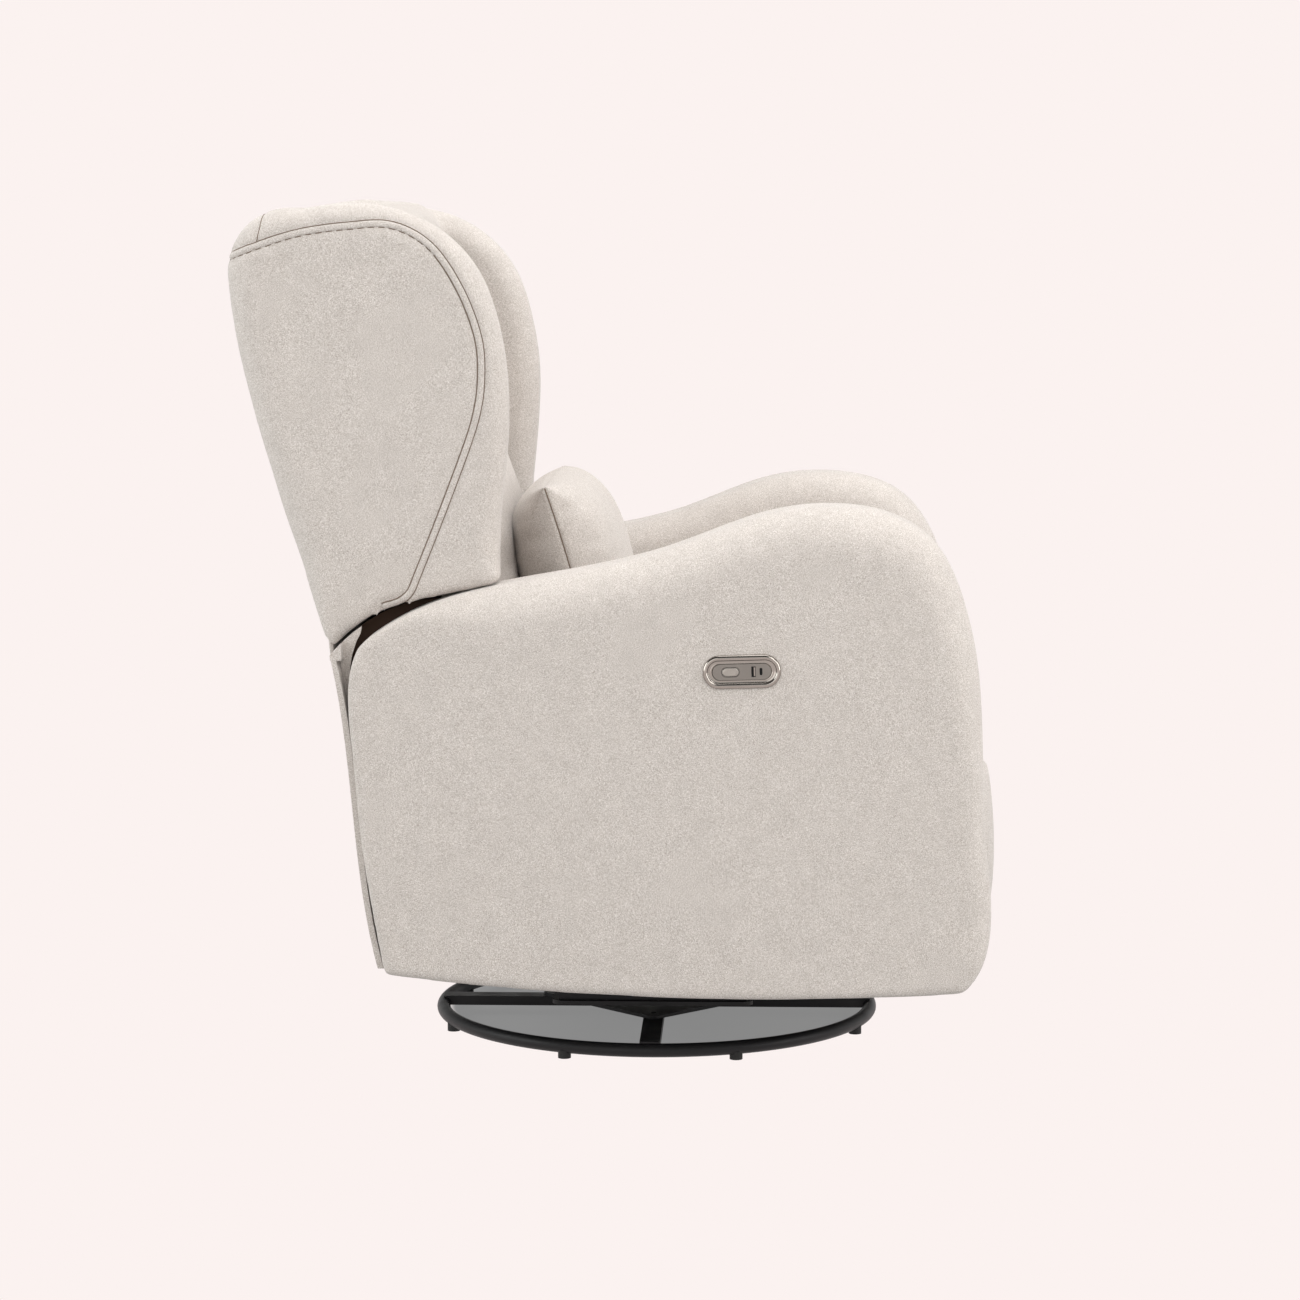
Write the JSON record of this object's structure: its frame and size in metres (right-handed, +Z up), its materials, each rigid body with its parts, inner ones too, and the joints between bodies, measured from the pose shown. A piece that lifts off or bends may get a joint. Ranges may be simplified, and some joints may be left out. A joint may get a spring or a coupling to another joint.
{
  "type": "glider nursery chair",
  "caption": "Upholstered wing-back power glider chair on a swivel ring base: seat glides and swivels, back reclines, footrest unfolds, loose lumbar pillow, arm control with USB.",
  "frame": {"origin": "on the floor, below the middle of the chair's bounding box", "axes": "+Z up, front of the chair towards -Y, +X towards the sitter's left arm"},
  "size_m": [0.7763, 0.9214, 1.05],
  "materials": {
    "upholstery": "oatmeal heathered woven fabric, fine weave",
    "pillow_fabric": "same oatmeal weave, a little paler",
    "black_steel": "black powder coat, satin",
    "black_links": "black e-coat on pressed steel",
    "zinc_steel": "bright zinc plate",
    "spring_steel": "oiled spring wire",
    "glide_plastic": "black moulded glides",
    "timber": "plain plywood and softwood",
    "nickel": "satin nickel",
    "control_plastic": "warm grey moulding",
    "socket_metal": "dark plated socket shells",
    "drive_plastic": "black glass-filled nylon",
    "motor_case": "black motor can"
  },
  "bodies": {
    "base": {"base_ring": "black_steel", "cross_bars": "black_steel", "hub_plate": "black_steel", "base_glides": "glide_plastic", "swivel_lower_race": "zinc_steel", "swivel_balls": "zinc_steel", "swivel_kingpin": "zinc_steel"},
    "carriage": {"swivel_upper_race": "zinc_steel", "swivel_plate": "black_steel", "stand_plates": "black_steel", "stand_tubes": "black_steel", "glide_upper_pins": "zinc_steel"},
    "front_links": {"front_glide_links": "black_links"},
    "rear_links": {"rear_glide_links": "black_links"},
    "chassis": {"glide_lower_pins": "zinc_steel", "glide_hangers": "black_steel", "seat_frame": "timber", "seat_springs": "spring_steel", "seat_cushion": "upholstery", "arm_left": "upholstery", "arm_right": "upholstery", "rear_panel": "upholstery", "back_hinge_plates": "black_steel", "recline_pins": "zinc_steel", "footrest_brackets": "black_steel", "footrest_foot_pins": "zinc_steel", "drive_rail": "black_steel", "gearbox": "drive_plastic", "drive_screw": "zinc_steel", "motor": "motor_case", "control_bezel": "nickel", "control_insert": "control_plastic", "usb_a_socket": "socket_metal", "usb_c_socket": "socket_metal"},
    "back": {"back_brackets": "black_steel", "back_shell": "upholstery", "back_cushion": "upholstery", "wing_left": "upholstery", "wing_right": "upholstery"},
    "pillow": {"lumbar_pillow": "pillow_fabric"},
    "footrest_first": {"footrest_first_links": "black_links", "footrest_first_pins": "zinc_steel"},
    "footrest_second": {"footrest_second_links": "black_links", "footrest_second_pins": "zinc_steel", "footrest_cross_tube": "black_steel"},
    "footrest_third": {"footrest_third_links": "black_links", "footrest_third_pins": "zinc_steel"},
    "footrest_panel": {"footrest_fourth_links": "black_links", "footrest_pad_brackets": "black_steel", "footrest_board": "timber", "footrest_pad": "upholstery"},
    "drive": {"drive_block": "drive_plastic"},
    "rocker": {"rocker_switch": "nickel"}
  },
  "joints": [
    {"name": "swivel", "type": "hinge", "parent": "base", "child": "carriage", "pos_m": [0, -0.044, 0.049], "axis": [0, 0, 1], "continuous": true},
    {"name": "glide", "type": "hinge", "parent": "carriage", "child": "front_links", "pos_m": [0, -0.149, 0.225], "axis": [1, 0, 0], "range_deg": [-28, 28]},
    {"name": "rear_glide", "type": "hinge", "parent": "carriage", "child": "rear_links", "pos_m": [0, 0.061, 0.225], "axis": [1, 0, 0], "range_deg": [-28, 28]},
    {"name": "seat_level", "type": "hinge", "parent": "front_links", "child": "chassis", "pos_m": [0, -0.149, 0.105], "axis": [1, 0, 0], "range_deg": [-28, 28]},
    {"name": "recline", "type": "hinge", "parent": "chassis", "child": "back", "pos_m": [0, 0.2, 0.4], "axis": [-1, 0, 0], "range_deg": [0, 35]},
    {"name": "footrest", "type": "hinge", "parent": "chassis", "child": "footrest_first", "pos_m": [0, -0.312, 0.141], "axis": [1, 0, 0], "range_deg": [0, 50]},
    {"name": "footrest_cross", "type": "hinge", "parent": "footrest_first", "child": "footrest_second", "pos_m": [0, -0.33279, 0.23881], "axis": [-1, 0, 0], "range_deg": [0, 148]},
    {"name": "footrest_knee", "type": "hinge", "parent": "footrest_second", "child": "footrest_third", "pos_m": [0, -0.33977, 0.13906], "axis": [1, 0, 0], "range_deg": [0, 148]},
    {"name": "footrest_tilt", "type": "hinge", "parent": "footrest_third", "child": "footrest_panel", "pos_m": [0, -0.36056, 0.23687], "axis": [-1, 0, 0], "range_deg": [0, 148]},
    {"name": "drive_travel", "type": "slide", "parent": "chassis", "child": "drive", "axis": [0, -1, 0], "range_m": [0, 0.2]},
    {"name": "rocker_press", "type": "hinge", "parent": "chassis", "child": "rocker", "pos_m": [-0.3841, -0.1426, 0.4936], "axis": [0, 0, 1], "range_deg": [-7, 7], "stiffness_Nm_per_rad": 0.3},
    {"name": "pillow_lift", "type": "slide", "parent": "back", "child": "pillow", "axis": [0, 0.1308, 0.9914], "range_m": [0, 0.15]}
  ],
  "couplings": [
    {"joint": "seat_level", "follows": "glide", "ratio": -1},
    {"joint": "rear_glide", "follows": "glide", "ratio": 1},
    {"joint": "footrest_cross", "follows": "footrest", "ratio": 2.96},
    {"joint": "footrest_knee", "follows": "footrest", "ratio": 2.96},
    {"joint": "footrest_tilt", "follows": "footrest", "ratio": 2.96},
    {"joint": "drive_travel", "follows": "footrest", "m_per_rad": 0.2291}
  ]
}
